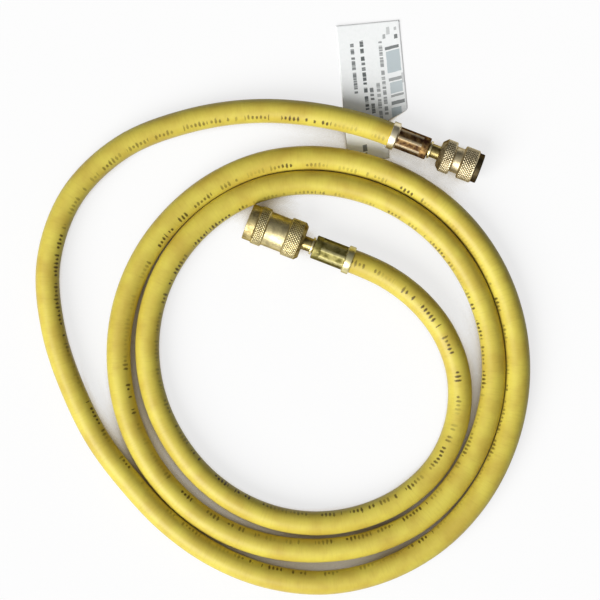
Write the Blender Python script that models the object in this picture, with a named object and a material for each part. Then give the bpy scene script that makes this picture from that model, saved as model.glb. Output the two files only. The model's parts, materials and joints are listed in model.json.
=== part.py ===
"""A refrigerant charging hose lying in a loose flat coil, with a crimped fitting and a knurled swivel nut at each end.

Run with: blender --background --python part.py
Metres, +Z up. The coil lies on the floor, and +X is the way the outer fitting's mouth faces.
"""

import math

import bmesh
import bpy
from mathutils import Matrix, Vector

# Gap that pieces which meet keep between them, and the break on a turned edge
CLEARANCE = 0.0003
EDGE_BREAK = 0.0003

# Hose
HOSE_RADIUS = 0.0057
HOSE_STEP_DEGREES = 15
STRAIGHT_LENGTH = 0.006
LEVEL_LENGTH = 0.034
FALL_LENGTH = 0.066

# The hose's route: bearing about the coil's middle in degrees, and distance from it in metres,
# from the outer end inwards
ROUTE = [
    (90, 0.1142), (105, 0.1145), (120, 0.1170), (135, 0.1212), (150, 0.1267), (165, 0.1280),
    (180, 0.1227), (195, 0.1128), (210, 0.1042), (240, 0.0968), (270, 0.1012), (300, 0.1091),
    (330, 0.1121), (360, 0.1102), (390, 0.1069), (420, 0.1024), (450, 0.0966), (480, 0.0916),
    (510, 0.0857), (540, 0.0822), (570, 0.0814), (600, 0.0841), (630, 0.0886), (660, 0.0937),
    (690, 0.0993), (720, 0.0985), (750, 0.0952), (780, 0.0905), (810, 0.0848), (840, 0.0799),
    (870, 0.0739), (900, 0.0694), (930, 0.0673), (960, 0.0685), (990, 0.0738), (1020, 0.0807),
    (1050, 0.0863), (1065, 0.0872), (1080, 0.0850), (1095, 0.0802), (1110, 0.0732), (1125, 0.0656),
    (1140, 0.0590), (1155, 0.0546),
]
ROUTE_ENDS = 1140
COIL_MIDDLE = Vector((0.0067, -0.0301, 0.0))

# Where the hose leaves each ferrule, from the coil's middle, and the way each mouth faces
OUTER_EXIT = Vector((0.0067, 0.1146, 0.0))
OUTER_BEARING = 0.0
INNER_EXIT = Vector((0.0113, 0.0521, 0.0))
INNER_BEARING = 180.0

# Ferrules
FERRULE_LENGTH = 0.0192
FERRULE_WALL = 0.0007
FERRULE_END_WALL = 0.0020
FERRULE_SHOULDER = 0.0034
FERRULE_NOSE = 0.0006
RING_LENGTH = 0.0032
CRIMP_STEP = 0.0012
CRIMP_FACETS = 8
CRIMP_EDGE = 0.00025
FERRULE_COLUMNS = 48
INNER_CRIMP_RADIUS = 0.00545
OUTER_CRIMP_RADIUS = 0.00510

# Stems
NECK_RADIUS = 0.0033
NECK_LENGTH = 0.0055
STEM_BORE_RADIUS = 0.00175
TAIL_LENGTH = 0.0004
COLLAR_RADIUS = 0.0042
COLLAR_LENGTH = 0.0011
HEAD_LENGTH = 0.0020
STEM_COLUMNS = 32

# Nuts: the thread is 7/16-20 UNF
THREAD_RADIUS = 0.0054
THREAD_RELIEF = 0.0003
THREAD_CHAMFER = 0.0005
BACK_CHAMFER = 0.0008
KNURL_DEPTH = 0.0003
KNURL_PITCH = 0.0012
NUT_COLUMNS = 52
BAND_EDGE = 0.0004
WAIST_FILLET = 0.0006

OUTER_WAIST_WALL = 0.0011
OUTER_WAIST_DEPTH = 0.0018
OUTER_LIP_DEPTH = 0.0009
OUTER_REAR_CHAMFER = 0.0018
OUTER_REAR_BAND = 0.0070
OUTER_WAIST = 0.0042
OUTER_FRONT_BAND = 0.0070
OUTER_LIP = 0.0026
OUTER_SEAT_DEPTH = 0.0097

INNER_WAIST_WALL = 0.0032
INNER_WAIST_DEPTH = 0.0010
INNER_LIP_DEPTH = 0.0006
INNER_REAR_CHAMFER = 0.0012
INNER_REAR_BAND = 0.0084
INNER_WAIST = 0.0103
INNER_FRONT_BAND = 0.0050
INNER_LIP = 0.0043
INNER_SEAT_DEPTH = 0.0122

# Gaskets and the core depressor
GASKET_THICKNESS = 0.0019
GASKET_HOLE_RADIUS = 0.0022
PIN_SHANK_LENGTH = 0.0040
PIN_TIP_RADIUS = 0.0008
PIN_TIP_LENGTH = 0.0012
PIN_FLUTES = 4
PIN_FLUTE_DEPTH = 0.00045

# Label
LABEL_WIDTH = 0.0305
LABEL_TAIL_WIDTH = 0.0195
LABEL_LENGTH = 0.0650
LABEL_TAIL_LENGTH = 0.0165
LABEL_SHOULDER = 0.0065
LABEL_THICKNESS = 0.0003
LABEL_CROSSING = 0.0135
LABEL_RISE = 0.0120
LABEL_OFFSET = 0.0062
LABEL_BEARING = 116.6
LABEL_STATIONS = 26

HEAD_RADIUS = THREAD_RADIUS - 2 * CLEARANCE
HEAD_BORE_RADIUS = HEAD_RADIUS + CLEARANCE
OUTER_NUT_RADIUS = HEAD_BORE_RADIUS + OUTER_WAIST_WALL + OUTER_WAIST_DEPTH
INNER_NUT_RADIUS = HEAD_BORE_RADIUS + INNER_WAIST_WALL + INNER_WAIST_DEPTH


def clear_scene():
    for old in list(bpy.data.objects):
        bpy.data.objects.remove(old, do_unlink=True)


def principled(name, colour, roughness, metallic=0.0):
    material = bpy.data.materials.new(name)
    material.use_nodes = True
    shader = material.node_tree.nodes["Principled BSDF"]
    shader.inputs["Base Color"].default_value = (*colour, 1.0)
    shader.inputs["Roughness"].default_value = roughness
    shader.inputs["Metallic"].default_value = metallic
    material.diffuse_color = (*colour, 1.0)
    return material


def link(name, data, material, parent=None):
    piece = bpy.data.objects.new(name, data)
    bpy.context.collection.objects.link(piece)
    piece.data.materials.append(material)
    piece.parent = parent
    return piece


# Turned pieces: rings of points about the X axis. A ring is its place along the axis and a rule that gives
# the radius at each of its columns


def round_ring(x, radius):
    return x, lambda column, columns: radius


def knurled_rings(start, end, radius):
    """Rows of points that stand high and low by turns, so that the faces between them make diamonds."""
    rows = max(2, round((end - start) / KNURL_PITCH))
    rings = []
    for row in range(rows + 1):
        def knurl(column, columns, row=row):
            return radius if (row + column) % 2 else radius - KNURL_DEPTH
        rings.append((start + (end - start) * row / rows, knurl))
    return rings


def crimped_ring(x, flat_radius):
    """The section that the crimping dies leave: flats, with the round of the sleeve between them."""
    facet = math.tau / CRIMP_FACETS

    def crimp(column, columns):
        from_middle = math.tau * column / columns % facet - facet / 2
        return min(flat_radius + CRIMP_EDGE, flat_radius / math.cos(from_middle))
    return x, crimp


def fluted_ring(x, radius):
    """A round section with grooves down it that let the gas past."""
    def flute(column, columns):
        wave = math.cos(PIN_FLUTES * math.tau * column / columns)
        return radius - PIN_FLUTE_DEPTH * (1.0 + wave) / 2
    return x, flute


def turned_mesh(name, rings, columns, through=True):
    """One closed mesh from its rings. A piece with a hole lists its outside and then its bore, back to the start."""
    mesh = bmesh.new()
    rows = []
    for x, radius_at in rings:
        radii = [radius_at(column, columns) for column in range(columns)]
        angles = [math.tau * column / columns for column in range(columns)]
        row = [mesh.verts.new((x, r * math.sin(a), r * math.cos(a))) for r, a in zip(radii, angles)]
        rows.append((row, radii))
    pairs = list(zip(rows, rows[1:]))
    if through:
        pairs.append((rows[-1], rows[0]))
    else:
        mesh.faces.new(rows[0][0])
        mesh.faces.new(rows[-1][0])
    for (near, near_radii), (far, far_radii) in pairs:
        for column in range(columns):
            following = (column + 1) % columns
            a, b, c, d = near[column], near[following], far[following], far[column]
            rise = near_radii[following] + far_radii[column] - near_radii[column] - far_radii[following]
            if abs(rise) < KNURL_DEPTH:
                mesh.faces.new((a, d, c, b))
            elif rise > 0:
                mesh.faces.new((a, d, c))
                mesh.faces.new((a, c, b))
            else:
                mesh.faces.new((a, d, b))
                mesh.faces.new((b, d, c))
    bmesh.ops.recalc_face_normals(mesh, faces=mesh.faces)
    data = bpy.data.meshes.new(name)
    mesh.to_mesh(data)
    mesh.free()
    data.shade_smooth()
    data.set_sharp_from_angle(angle=math.radians(25))
    return data


# Ferrule: the sleeve crimped on the hose's end. Stations run from the hose towards the mouth


def build_ferrule(name, crimp_radius, material, parent):
    ring_bore = HOSE_RADIUS + CLEARANCE
    ring_radius = ring_bore + FERRULE_WALL
    crimp_bore = crimp_radius - FERRULE_WALL
    shoulder_radius = crimp_radius + CRIMP_EDGE
    front = FERRULE_LENGTH
    outside = [
        round_ring(0.0, ring_radius - EDGE_BREAK),
        round_ring(EDGE_BREAK, ring_radius),
        round_ring(RING_LENGTH - EDGE_BREAK, ring_radius),
        round_ring(RING_LENGTH, ring_radius - EDGE_BREAK),
        crimped_ring(RING_LENGTH + EDGE_BREAK, crimp_radius),
        crimped_ring(front - FERRULE_SHOULDER - EDGE_BREAK, crimp_radius),
        round_ring(front - FERRULE_SHOULDER, shoulder_radius),
        round_ring(front - FERRULE_NOSE, shoulder_radius),
        round_ring(front - FERRULE_NOSE / 3, shoulder_radius - FERRULE_NOSE / 2),
        round_ring(front, shoulder_radius - FERRULE_NOSE),
    ]
    bore = [
        round_ring(front, NECK_RADIUS + CLEARANCE),
        round_ring(front - FERRULE_END_WALL, NECK_RADIUS + CLEARANCE),
        round_ring(front - FERRULE_END_WALL, crimp_bore),
        round_ring(RING_LENGTH + CRIMP_STEP, crimp_bore),
        round_ring(RING_LENGTH, ring_bore),
        round_ring(0.0, ring_bore),
    ]
    return link(name, turned_mesh(name, outside + bore, FERRULE_COLUMNS), material, parent)


# Stem: the turned tube that carries the gas through the nut, with the flange that the nut pulls on


def build_stem(name, seat_x, material, parent):
    tail = FERRULE_LENGTH - FERRULE_END_WALL - TAIL_LENGTH
    head_front = seat_x - GASKET_THICKNESS - CLEARANCE
    head_back = head_front - HEAD_LENGTH
    collar_back = FERRULE_LENGTH + CLEARANCE
    collar_front = collar_back + COLLAR_LENGTH
    outside = [
        round_ring(tail, NECK_RADIUS),
        round_ring(collar_back, NECK_RADIUS),
        round_ring(collar_back, COLLAR_RADIUS - EDGE_BREAK),
        round_ring(collar_back + EDGE_BREAK, COLLAR_RADIUS),
        round_ring(collar_front - EDGE_BREAK, COLLAR_RADIUS),
        round_ring(collar_front, COLLAR_RADIUS - EDGE_BREAK),
        round_ring(collar_front, NECK_RADIUS),
        round_ring(head_back, NECK_RADIUS),
        round_ring(head_back, HEAD_RADIUS - EDGE_BREAK),
        round_ring(head_back + EDGE_BREAK, HEAD_RADIUS),
        round_ring(head_front - EDGE_BREAK, HEAD_RADIUS),
        round_ring(head_front, HEAD_RADIUS - EDGE_BREAK),
    ]
    bore = [round_ring(head_front, STEM_BORE_RADIUS), round_ring(tail, STEM_BORE_RADIUS)]
    return link(name, turned_mesh(name, outside + bore, STEM_COLUMNS), material, parent)


# Gasket: the flat rubber ring that the stem's flange presses on the port


def build_gasket(name, seat_x, material, parent):
    back = seat_x - GASKET_THICKNESS
    rings = [
        round_ring(back, HEAD_RADIUS - EDGE_BREAK),
        round_ring(back + EDGE_BREAK, HEAD_RADIUS),
        round_ring(seat_x - EDGE_BREAK, HEAD_RADIUS),
        round_ring(seat_x, HEAD_RADIUS - EDGE_BREAK),
        round_ring(seat_x, GASKET_HOLE_RADIUS),
        round_ring(back, GASKET_HOLE_RADIUS),
    ]
    return link(name, turned_mesh(name, rings, STEM_COLUMNS), material, parent)


# Core depressor: the grooved pin in the stem's bore that opens the valve core of the port


def build_core_depressor(seat_x, material, parent):
    name = "core_depressor"
    shank_radius = STEM_BORE_RADIUS - CLEARANCE
    head_radius = GASKET_HOLE_RADIUS - CLEARANCE
    flange_back = seat_x - GASKET_THICKNESS
    shank_back = flange_back - PIN_SHANK_LENGTH
    rings = [
        fluted_ring(shank_back, shank_radius),
        fluted_ring(flange_back, shank_radius),
        fluted_ring(flange_back, head_radius),
        fluted_ring(seat_x - CLEARANCE, head_radius),
        round_ring(seat_x, PIN_TIP_RADIUS),
        round_ring(seat_x + PIN_TIP_LENGTH, PIN_TIP_RADIUS),
    ]
    return link(name, turned_mesh(name, rings, STEM_COLUMNS, through=False), material, parent)


# Swivel nut: turned from knurled bar, with a waist between its two bands and a smooth lip at the mouth


def build_nut(name, radius, waist_depth, lip_depth, rear_chamfer, lengths, seat_depth, material, parent):
    back = FERRULE_LENGTH + NECK_LENGTH
    rear_band, waist, front_band, lip = lengths
    waist_back = back + rear_band
    waist_front = waist_back + waist
    lip_back = waist_front + front_band
    mouth = lip_back + lip
    seat_x = mouth - seat_depth
    shoulder = seat_x - GASKET_THICKNESS - HEAD_LENGTH - 2 * CLEARANCE
    neck_hole = NECK_RADIUS + CLEARANCE
    edge_radius = radius - BAND_EDGE - KNURL_DEPTH
    waist_radius = radius - waist_depth
    lip_radius = radius - lip_depth
    thread_mouth = THREAD_RADIUS + THREAD_CHAMFER
    outside = [
        round_ring(back, radius - BAND_EDGE - rear_chamfer),
        round_ring(back + rear_chamfer, edge_radius),
        *knurled_rings(back + rear_chamfer + BAND_EDGE, waist_back - BAND_EDGE, radius),
        round_ring(waist_back, edge_radius),
        round_ring(waist_back + WAIST_FILLET / 2, waist_radius + WAIST_FILLET / 2),
        round_ring(waist_back + 2 * WAIST_FILLET, waist_radius),
        round_ring(waist_front - 2 * WAIST_FILLET, waist_radius),
        round_ring(waist_front - WAIST_FILLET / 2, waist_radius + WAIST_FILLET / 2),
        round_ring(waist_front, edge_radius),
        *knurled_rings(waist_front + BAND_EDGE, lip_back - BAND_EDGE, radius),
        round_ring(lip_back, lip_radius),
        round_ring(mouth - BAND_EDGE, lip_radius),
        round_ring(mouth, lip_radius - BAND_EDGE),
    ]
    bore = [
        round_ring(mouth, thread_mouth),
        round_ring(mouth - THREAD_CHAMFER, THREAD_RADIUS),
        round_ring(seat_x + THREAD_RELIEF, THREAD_RADIUS),
        round_ring(seat_x, HEAD_BORE_RADIUS),
        round_ring(shoulder, HEAD_BORE_RADIUS),
        round_ring(shoulder, neck_hole),
        round_ring(back + BACK_CHAMFER, neck_hole),
        round_ring(back, neck_hole + BACK_CHAMFER),
    ]
    return link(name, turned_mesh(name, outside + bore, NUT_COLUMNS), material, parent)


# Fittings: an empty where the hose leaves the ferrule, its X axis towards the mouth


def fitting_empty(name, exit_point, bearing, height):
    empty = bpy.data.objects.new(name, None)
    bpy.context.collection.objects.link(empty)
    empty.location = COIL_MIDDLE + exit_point + Vector((0.0, 0.0, height))
    empty.rotation_euler.z = math.radians(bearing)
    return empty


def build_outer_fitting(brass, plated, rubber):
    empty = fitting_empty("outer_fitting", OUTER_EXIT, OUTER_BEARING, OUTER_NUT_RADIUS)
    lengths = (OUTER_REAR_BAND, OUTER_WAIST, OUTER_FRONT_BAND, OUTER_LIP)
    seat_x = FERRULE_LENGTH + NECK_LENGTH + sum(lengths) - OUTER_SEAT_DEPTH
    build_ferrule("outer_ferrule", OUTER_CRIMP_RADIUS, plated, empty)
    build_stem("outer_stem", seat_x, brass, empty)
    build_gasket("outer_gasket", seat_x, rubber, empty)
    build_nut(
        "outer_nut", OUTER_NUT_RADIUS, OUTER_WAIST_DEPTH, OUTER_LIP_DEPTH, OUTER_REAR_CHAMFER,
        lengths, OUTER_SEAT_DEPTH, brass, empty,
    )
    return empty


def build_inner_fitting(brass, plated, rubber):
    empty = fitting_empty("inner_fitting", INNER_EXIT, INNER_BEARING, INNER_NUT_RADIUS)
    lengths = (INNER_REAR_BAND, INNER_WAIST, INNER_FRONT_BAND, INNER_LIP)
    seat_x = FERRULE_LENGTH + NECK_LENGTH + sum(lengths) - INNER_SEAT_DEPTH
    build_ferrule("inner_ferrule", INNER_CRIMP_RADIUS, plated, empty)
    build_stem("inner_stem", seat_x, brass, empty)
    build_gasket("inner_gasket", seat_x, rubber, empty)
    build_core_depressor(seat_x, brass, empty)
    build_nut(
        "inner_nut", INNER_NUT_RADIUS, INNER_WAIST_DEPTH, INNER_LIP_DEPTH, INNER_REAR_CHAMFER,
        lengths, INNER_SEAT_DEPTH, brass, empty,
    )
    return empty


# Hose


def route_distance(bearing):
    """Distance from the coil's middle at a bearing, on a smooth curve through the route's own points."""
    index = max(i for i in range(1, len(ROUTE) - 2) if ROUTE[i][0] <= bearing)
    (b0, d0), (b1, d1), (b2, d2), (b3, d3) = ROUTE[index - 1:index + 3]
    span = b2 - b1
    t = (bearing - b1) / span
    slope_1 = (d2 - d0) / (b2 - b0) * span
    slope_2 = (d3 - d1) / (b3 - b1) * span
    return (
        d1 * (1 + 2 * t) * (1 - t) ** 2
        + slope_1 * t * (1 - t) ** 2
        + d2 * t * t * (3 - 2 * t)
        + slope_2 * t * t * (t - 1)
    )


def hose_end(empty, crimp_radius):
    """Centre points inside and just outside a ferrule, from the stem outwards, each with the hose's radius there."""
    crimped = crimp_radius - FERRULE_WALL - CLEARANCE
    deep = FERRULE_LENGTH - FERRULE_END_WALL - TAIL_LENGTH - CLEARANCE
    stations = [
        (deep, crimped),
        (RING_LENGTH + CRIMP_STEP - CLEARANCE, crimped),
        (RING_LENGTH - CLEARANCE, HOSE_RADIUS),
        (-STRAIGHT_LENGTH, HOSE_RADIUS),
    ]
    frame = Matrix.Translation(empty.location) @ Matrix.Rotation(empty.rotation_euler.z, 4, "Z")
    return [(frame @ Vector((x, 0.0, 0.0)), radius) for x, radius in stations]


def eased_height(along, end_height):
    """Height of the centre line: level with the fitting at first, then easing down until the hose lies on the floor."""
    t = min(1.0, max(0.0, (along - LEVEL_LENGTH) / FALL_LENGTH))
    return end_height + (HOSE_RADIUS - end_height) * t * t * (3 - 2 * t)


def hose_points(outer, inner):
    start = hose_end(outer, OUTER_CRIMP_RADIUS)
    finish = hose_end(inner, INNER_CRIMP_RADIUS)[::-1]
    first = ROUTE[1][0]
    middle = []
    for bearing in range(first, ROUTE_ENDS + 1, HOSE_STEP_DEGREES):
        angle = math.radians(bearing)
        distance = route_distance(bearing)
        place = COIL_MIDDLE + Vector((math.cos(angle), math.sin(angle), 0.0)) * distance
        middle.append((place, HOSE_RADIUS))
    points = start + middle + finish
    along = [0.0]
    for (before, _), (after, _) in zip(points, points[1:]):
        along.append(along[-1] + (after.xy - before.xy).length)
    for i in range(len(start), len(start) + len(middle)):
        from_start = eased_height(along[i] - along[2], outer.location.z)
        from_finish = eased_height(along[-3] - along[i], inner.location.z)
        points[i][0].z = max(from_start, from_finish)
    return points


def build_hose(outer, inner, material):
    curve = bpy.data.curves.new("hose", "CURVE")
    curve.dimensions = "3D"
    curve.bevel_depth = HOSE_RADIUS
    curve.bevel_resolution = 4
    curve.use_fill_caps = True
    points = hose_points(outer, inner)
    spline = curve.splines.new("POLY")
    spline.points.add(len(points) - 1)
    for target, (place, radius) in zip(spline.points, points):
        target.co = (*place, 1.0)
        target.radius = radius / HOSE_RADIUS
    return link("hose", curve, material)


# Label: a doubled paper tag whose tail passes under the hose beside the outer ferrule. One side of it is a
# straight edge from end to end, and the other steps in to the tail's width


def label_step(along):
    """How far the stepped side stands in from the label's full width."""
    t = min(1.0, max(0.0, (along - LABEL_TAIL_LENGTH) / LABEL_SHOULDER))
    return (LABEL_WIDTH - LABEL_TAIL_WIDTH) * (1.0 - t)


def label_height(along, top):
    """Height of the underside: on the floor, but for the hump where the hose rests on the label."""
    t = min(1.0, abs(along - LABEL_CROSSING) / LABEL_RISE)
    return top * (1.0 - t * t * (3 - 2 * t))


def build_label(outer, material):
    raised = outer.location.z - HOSE_RADIUS - CLEARANCE - LABEL_THICKNESS
    mesh = bmesh.new()
    rows = []
    for station in range(LABEL_STATIONS + 1):
        along = LABEL_LENGTH * station / LABEL_STATIONS
        straight_side = LABEL_WIDTH / 2
        stepped_side = label_step(along) - LABEL_WIDTH / 2
        low = label_height(along, raised)
        high = low + LABEL_THICKNESS
        corners = ((stepped_side, low), (straight_side, low), (straight_side, high), (stepped_side, high))
        rows.append([mesh.verts.new((along - LABEL_CROSSING, across, z)) for across, z in corners])
    for near, far in zip(rows, rows[1:]):
        for side in range(4):
            following = (side + 1) % 4
            mesh.faces.new((near[side], far[side], far[following], near[following]))
    mesh.faces.new(rows[0])
    mesh.faces.new(reversed(rows[-1]))
    bmesh.ops.recalc_face_normals(mesh, faces=mesh.faces)
    data = bpy.data.meshes.new("label")
    mesh.to_mesh(data)
    mesh.free()
    label = link("label", data, material)
    exit_point = outer.location
    label.location = (exit_point.x - LABEL_OFFSET, exit_point.y, 0.0)
    label.rotation_euler.z = math.radians(LABEL_BEARING)
    return label


def build():
    clear_scene()
    yellow = principled("hose_yellow", (0.69, 0.57, 0.08), 0.42)
    brass = principled("brass", (0.50, 0.38, 0.16), 0.33, 1.0)
    plated = principled("ferrule_brass", (0.26, 0.21, 0.09), 0.38, 1.0)
    rubber = principled("gasket_rubber", (0.02, 0.02, 0.02), 0.6)
    paper = principled("label_paper", (0.88, 0.90, 0.89), 0.55)
    outer = build_outer_fitting(brass, plated, rubber)
    inner = build_inner_fitting(brass, plated, rubber)
    build_hose(outer, inner, yellow)
    build_label(outer, paper)
    bpy.context.view_layer.update()


build()
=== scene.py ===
import json
import math

import bmesh
import bpy
from mathutils import Matrix, Vector
from mathutils.kdtree import KDTree

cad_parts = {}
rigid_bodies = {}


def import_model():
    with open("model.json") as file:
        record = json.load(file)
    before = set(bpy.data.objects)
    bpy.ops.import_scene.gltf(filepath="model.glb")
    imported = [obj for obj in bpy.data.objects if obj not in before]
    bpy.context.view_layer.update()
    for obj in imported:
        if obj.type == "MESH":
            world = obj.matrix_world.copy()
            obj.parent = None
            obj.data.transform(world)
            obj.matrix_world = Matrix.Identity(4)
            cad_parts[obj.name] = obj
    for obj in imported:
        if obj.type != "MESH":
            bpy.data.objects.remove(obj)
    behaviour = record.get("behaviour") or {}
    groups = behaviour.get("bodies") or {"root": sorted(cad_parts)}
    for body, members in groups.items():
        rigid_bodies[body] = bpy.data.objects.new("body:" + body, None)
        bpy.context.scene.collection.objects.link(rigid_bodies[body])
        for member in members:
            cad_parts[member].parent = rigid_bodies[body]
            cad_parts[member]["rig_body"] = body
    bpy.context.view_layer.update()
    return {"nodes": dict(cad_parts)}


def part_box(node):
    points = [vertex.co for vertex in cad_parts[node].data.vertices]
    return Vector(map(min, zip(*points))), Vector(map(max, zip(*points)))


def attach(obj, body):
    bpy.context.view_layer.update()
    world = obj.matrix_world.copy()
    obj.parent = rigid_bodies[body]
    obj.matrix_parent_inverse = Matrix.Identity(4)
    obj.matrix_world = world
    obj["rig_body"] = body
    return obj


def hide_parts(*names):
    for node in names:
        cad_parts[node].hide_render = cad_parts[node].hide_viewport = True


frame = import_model()
MM = 0.001

# The camera looks straight down on the coil, as the photograph does, turned so that both fittings slope
# down to the right. It stands far back, so the view is almost flat.
PHOTO_TURN = math.radians(21.1)
PHOTO_CENTRE = Vector((1.7 * MM, -4.0 * MM, 0.0))
PHOTO_WIDTH = 285.6 * MM
CAMERA_HEIGHT = 1.4
SENSOR_WIDTH = 36.0

camera_data = bpy.data.cameras.new("photo_camera")
camera_data.sensor_width = SENSOR_WIDTH
camera_data.lens = SENSOR_WIDTH * CAMERA_HEIGHT / PHOTO_WIDTH
camera = bpy.data.objects.new("photo_camera", camera_data)
camera.location = PHOTO_CENTRE + Vector((0.0, 0.0, CAMERA_HEIGHT))
camera.rotation_euler.z = PHOTO_TURN
bpy.context.collection.objects.link(camera)
bpy.context.scene.camera = camera
bpy.context.scene.view_settings.view_transform = "Standard"


# The hose is a thick-walled rubber tube with a braid moulded in, about 11.4 mm over its yellow cover. It
# lies on the floor in a loose flat coil of almost three turns, and its ends are held in crimped ferrules.
HOSE_RADIUS = 5.7 * MM
COIL_MIDDLE = Vector((6.7 * MM, -30.1 * MM, 0.0))
# Bearing about the coil's middle in degrees, and distance from it in metres, from the outer end inwards
ROUTE = [
    (90, 0.1142), (105, 0.1145), (120, 0.1170), (135, 0.1212), (150, 0.1267), (165, 0.1280),
    (180, 0.1227), (195, 0.1128), (210, 0.1042), (240, 0.0968), (270, 0.1012), (300, 0.1091),
    (330, 0.1121), (360, 0.1102), (390, 0.1069), (420, 0.1024), (450, 0.0966), (480, 0.0916),
    (510, 0.0857), (540, 0.0822), (570, 0.0814), (600, 0.0841), (630, 0.0886), (660, 0.0937),
    (690, 0.0993), (720, 0.0985), (750, 0.0952), (780, 0.0905), (810, 0.0848), (840, 0.0799),
    (870, 0.0739), (900, 0.0694), (930, 0.0673), (960, 0.0685), (990, 0.0738), (1020, 0.0807),
    (1050, 0.0863), (1065, 0.0872), (1080, 0.0850), (1095, 0.0802), (1110, 0.0732), (1125, 0.0656),
    (1140, 0.0590), (1155, 0.0546),
]
FIRST_BEARING = 105
LAST_BEARING = 1140
BEARING_STEP = 15
SAMPLES_PER_SPAN = 8
STRAIGHT_LENGTH = 6.0 * MM
LEVEL_LENGTH = 34.0 * MM
FALL_LENGTH = 66.0 * MM
HOSE_SIDES = 36
CRIMPED_HOSE_RADIUS = 4.1 * MM
CRIMPED_FROM = 4.1 * MM
CRIMPED_TO = 16.5 * MM
SQUEEZE_LENGTH = 1.2 * MM
# The printed line's turn from the top of the hose towards the coil's middle, in degrees, by bearing
PRINT_TURNS = [
    (90, 40), (150, 32), (200, 52), (310, 56), (375, 66), (470, 38), (540, 38), (605, 42), (670, 50),
    (740, 60), (800, 62), (900, 52), (1010, 56), (1085, 8), (1150, 4),
]


def between(table, value):
    """The table's second number at this value of its first, straight between its rows."""
    for (low, at_low), (high, at_high) in zip(table, table[1:]):
        if value <= high:
            share = max(0.0, (value - low) / (high - low))
            return at_low + (at_high - at_low) * share
    return table[-1][1]


def eased(t):
    """From 0 to 1 with a gentle start and end, and level before and after."""
    t = min(1.0, max(0.0, t))
    return t * t * (3 - 2 * t)


def smooth_between(start, start_slope, end, end_slope, t):
    """The place at t, from 0 to 1, on a smooth curve with these ends and slopes."""
    return (
        start * (1 + 2 * t) * (1 - t) ** 2
        + start_slope * t * (1 - t) ** 2
        + end * t * t * (3 - 2 * t)
        + end_slope * t * t * (t - 1)
    )


def route_distance(bearing):
    """Distance from the coil's middle at a bearing, on a smooth curve through the route's own points."""
    index = max(i for i in range(1, len(ROUTE) - 2) if ROUTE[i][0] <= bearing)
    (b0, d0), (b1, d1), (b2, d2), (b3, d3) = ROUTE[index - 1:index + 3]
    span = b2 - b1
    slope_1 = (d2 - d0) / (b2 - b0) * span
    slope_2 = (d3 - d1) / (b3 - b1) * span
    return smooth_between(d1, slope_1, d2, slope_2, (bearing - b1) / span)


def fitting_frame(ferrule, way):
    """Turns a fitting's own axis into the object's: X towards the mouth, from where the hose comes out."""
    low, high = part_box(ferrule)
    middle = (low + high) / 2
    hose_end = low.x if way > 0 else high.x
    turn = 0.0 if way > 0 else math.pi
    return Matrix.Translation((hose_end, middle.y, middle.z)) @ Matrix.Rotation(turn, 4, "Z")


outer_frame = fitting_frame("outer_ferrule", 1)
inner_frame = fitting_frame("inner_ferrule", -1)


def end_points(fitting):
    """The hose's centre from deep in the ferrule to where it starts to bend, with its radius there."""
    stations = [
        (CRIMPED_TO, CRIMPED_HOSE_RADIUS),
        (CRIMPED_FROM, CRIMPED_HOSE_RADIUS),
        (CRIMPED_FROM - SQUEEZE_LENGTH, HOSE_RADIUS),
        (-STRAIGHT_LENGTH, HOSE_RADIUS),
    ]
    return [(fitting @ Vector((x, 0.0, 0.0)), radius) for x, radius in stations]


def height_from_end(along, end_height):
    """The centre's height: level at its fitting's, then down until the hose lies on the floor."""
    return end_height + (HOSE_RADIUS - end_height) * eased((along - LEVEL_LENGTH) / FALL_LENGTH)


def route_points():
    """The points that the hose's centre passes through, each with its radius and bearing."""
    start = [(place, radius, FIRST_BEARING) for place, radius in end_points(outer_frame)]
    finish = [(place, radius, LAST_BEARING) for place, radius in end_points(inner_frame)[::-1]]
    middle = []
    for bearing in range(FIRST_BEARING, LAST_BEARING + 1, BEARING_STEP):
        angle = math.radians(bearing)
        reach = Vector((math.cos(angle), math.sin(angle), 0.0)) * route_distance(bearing)
        middle.append((COIL_MIDDLE + reach, HOSE_RADIUS, bearing))
    points = start + middle + finish
    along = [0.0]
    for before, after in zip(points, points[1:]):
        along.append(along[-1] + (after[0].xy - before[0].xy).length)
    for i in range(len(start), len(start) + len(middle)):
        from_start = height_from_end(along[i] - along[2], outer_frame.translation.z)
        from_finish = height_from_end(along[-3] - along[i], inner_frame.translation.z)
        points[i][0].z = max(from_start, from_finish)
    return points


def smooth_path(points):
    """A smooth curve through the points, as a fine list of (place, radius, bearing)."""
    places = [place for place, _, _ in points]
    chords = [(b - a).length for a, b in zip(places, places[1:])]
    slopes = [(places[1] - places[0]) / chords[0]]
    for i in range(1, len(places) - 1):
        before = (places[i] - places[i - 1]) / chords[i - 1]
        after = (places[i + 1] - places[i]) / chords[i]
        slopes.append((before * chords[i] + after * chords[i - 1]) / (chords[i] + chords[i - 1]))
    slopes.append((places[-1] - places[-2]) / chords[-1])
    path = []
    for i, chord in enumerate(chords):
        (_, radius_1, bearing_1), (_, radius_2, bearing_2) = points[i], points[i + 1]
        for step in range(SAMPLES_PER_SPAN):
            t = step / SAMPLES_PER_SPAN
            place = smooth_between(places[i], slopes[i] * chord, places[i + 1], slopes[i + 1] * chord, t)
            place.z = max(place.z, HOSE_RADIUS)
            radius = radius_1 + (radius_2 - radius_1) * t
            bearing = bearing_1 + (bearing_2 - bearing_1) * t
            path.append((place, radius, bearing))
    path.append(points[-1])
    return path


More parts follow.
